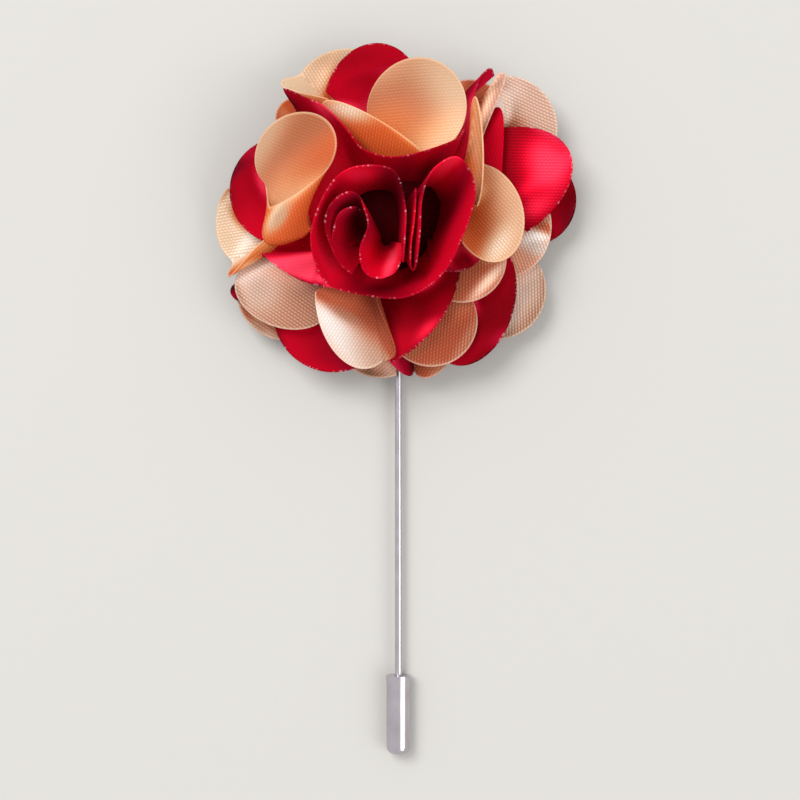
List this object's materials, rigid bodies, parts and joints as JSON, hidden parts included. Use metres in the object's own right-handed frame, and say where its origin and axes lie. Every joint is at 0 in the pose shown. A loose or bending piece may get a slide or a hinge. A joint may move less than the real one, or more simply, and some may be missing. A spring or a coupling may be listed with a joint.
{
  "type": "fabric flower lapel pin",
  "caption": "Layered satin flower of champagne and red cupped petals round a rolled bud, on a felt back with a straight stick pin and slide-off end cap.",
  "frame": {"origin": "centre of the felt back's flat rear face, which the object lies on", "axes": "+Z out of the flower's front towards the viewer, +Y up away from the needle; the needle runs along -Y"},
  "size_m": [0.0444, 0.0877, 0.0177],
  "materials": {
    "satin_champagne": "satin with a soft sheen",
    "satin_red": "satin with a soft sheen",
    "felt_black": "matt felt",
    "nickel_plate": "polished nickel plate"
  },
  "bodies": {
    "flower": {"front_top": "satin_champagne", "front_left": "satin_champagne", "front_right": "satin_champagne", "front_low_left": "satin_champagne", "front_low_red": "satin_red", "front_left_red": "satin_red", "front_low_right": "satin_champagne", "front_right_red": "satin_red", "mid_top_red": "satin_red", "mid_right_red": "satin_red", "mid_left_red": "satin_red", "mid_upper_left": "satin_champagne", "mid_low_left": "satin_champagne", "mid_low_right": "satin_champagne", "mid_low_right_red": "satin_red", "rear_upper_left": "satin_champagne", "rear_top": "satin_champagne", "rear_upper_right": "satin_champagne", "rear_right_red": "satin_red", "rear_right": "satin_champagne", "rear_right_low": "satin_champagne", "rear_low_right": "satin_champagne", "rear_low_tip_red": "satin_red", "rear_low": "satin_champagne", "rear_low_red": "satin_red", "rear_low_left": "satin_champagne", "rear_left_tip_red": "satin_red", "rear_left": "satin_champagne", "bud_collar": "satin_red", "front_top_red": "satin_red", "bud_wrap": "satin_red", "bud_inner": "satin_red", "bud_heart": "satin_red", "root_gather": "satin_red", "felt_base": "felt_black", "felt_back": "felt_black", "needle": "nickel_plate"},
    "cap": {"end_cap": "nickel_plate"}
  },
  "joints": [
    {"name": "cap_slide", "type": "slide", "parent": "flower", "child": "cap", "axis": [0, -1, 0], "range_m": [0, 0.0095]}
  ]
}
